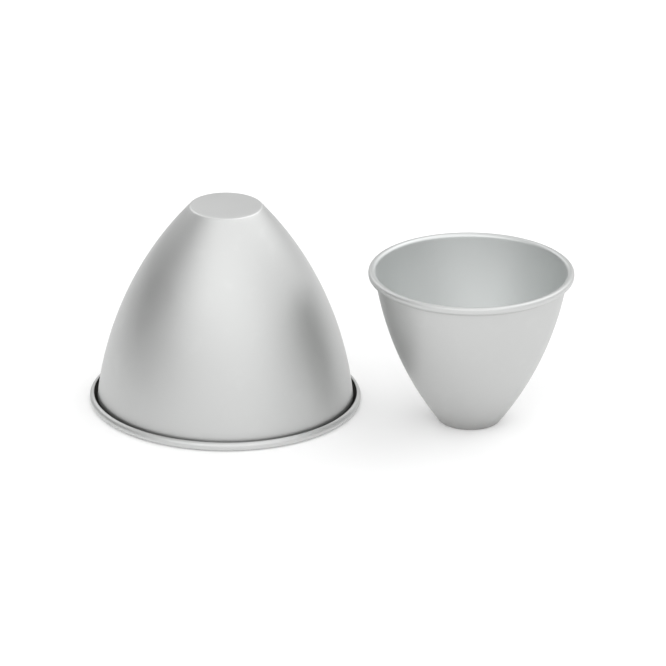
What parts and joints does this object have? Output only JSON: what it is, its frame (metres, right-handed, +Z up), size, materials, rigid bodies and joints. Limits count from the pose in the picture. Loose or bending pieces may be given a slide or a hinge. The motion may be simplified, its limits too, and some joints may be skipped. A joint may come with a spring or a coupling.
{
  "type": "cone cake mould set",
  "caption": "Cone cake moulds of spun sheet with bowed tapering walls, small flat floors and outward-rolled hollow rims; the large one stands mouth down, the small one mouth up.",
  "frame": {"origin": "on the surface that both moulds stand on, under the middle of the pair's box", "axes": "+X from the large mould's axis to the small mould's axis, +Z up along both axes, +Y away from the front"},
  "size_m": [0.3634, 0.203, 0.156],
  "materials": {
    "satin_aluminium": "satin"
  },
  "bodies": {
    "large_mould": {"large_mould": "satin_aluminium"},
    "small_mould": {"small_mould": "satin_aluminium"}
  },
  "joints": [
    {"name": "small_mould_lift", "type": "slide", "parent": "large_mould", "child": "small_mould", "axis": [0, 0, 1], "range_m": [0, 0.2]}
  ]
}
